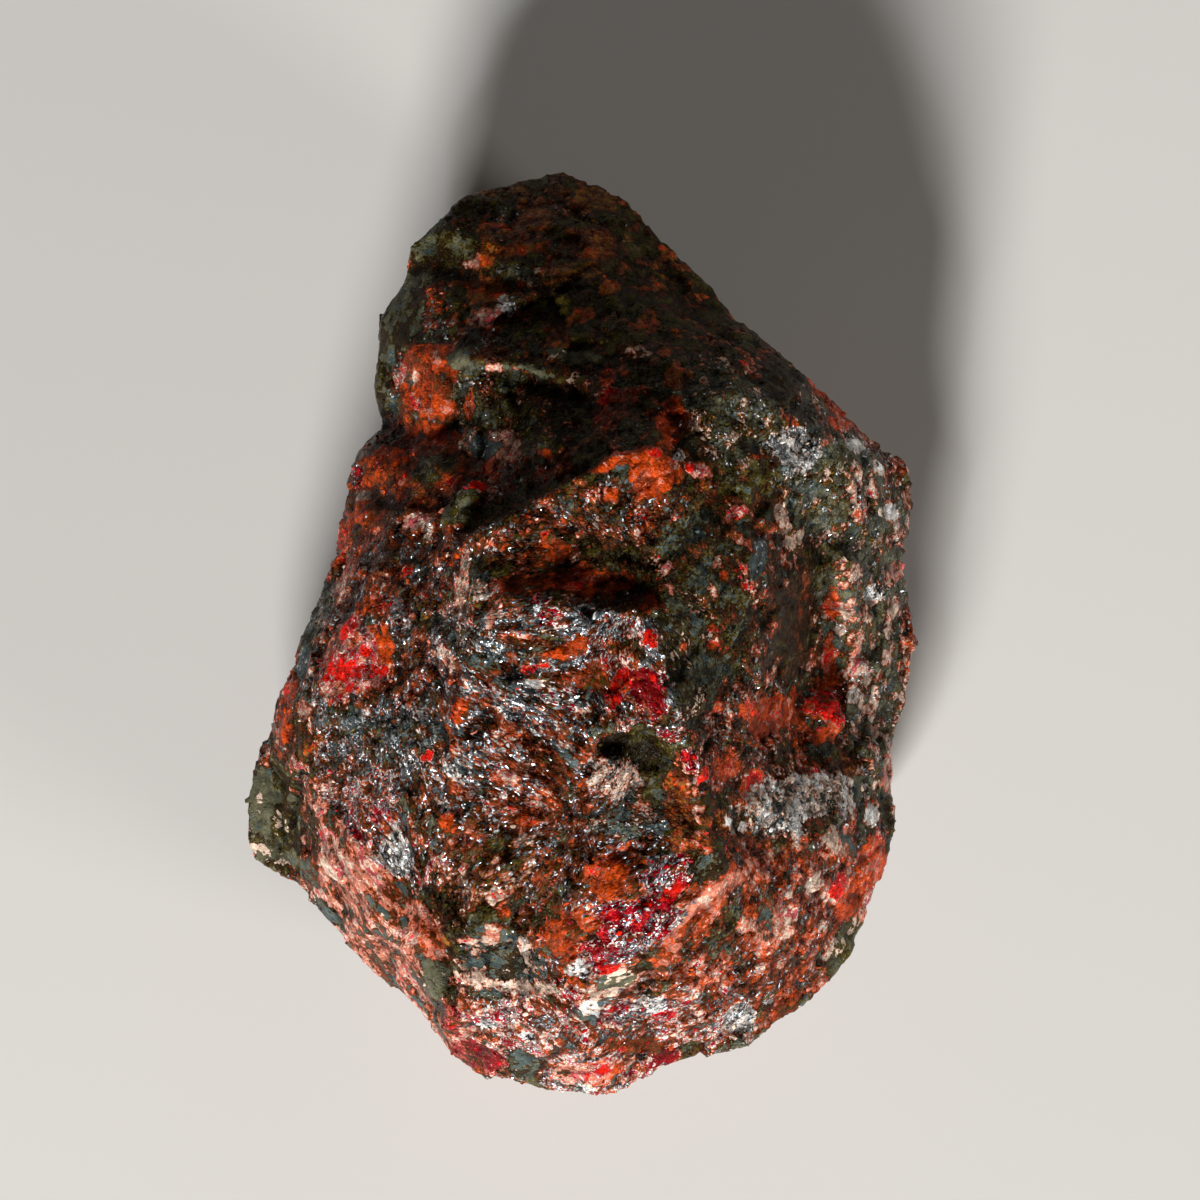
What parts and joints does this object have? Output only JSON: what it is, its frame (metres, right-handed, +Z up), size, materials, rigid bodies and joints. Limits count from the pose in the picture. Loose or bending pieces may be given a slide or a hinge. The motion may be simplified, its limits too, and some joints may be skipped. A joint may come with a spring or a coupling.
{
  "type": "rough mineral specimen",
  "caption": "Rough broken lump of diaspore-bearing rock with a stepped crest and a narrow end, lying on a flat fracture as a loose hand specimen.",
  "frame": {"origin": "under the middle of the lump, on the plane it rests on", "axes": "+Z up out of the flat it rests on, +Y along the lump towards its narrow end, +X towards its steep dark side"},
  "size_m": [0.0648, 0.088, 0.0461],
  "materials": {
    "rock": "broken coarse-grained aggregate: near-black green-grey groundmass with rust, crimson and pale salmon grains, dull with small glassy flecks"
  },
  "bodies": {
    "root": {"diaspore_stone": "rock"}
  },
  "joints": []
}
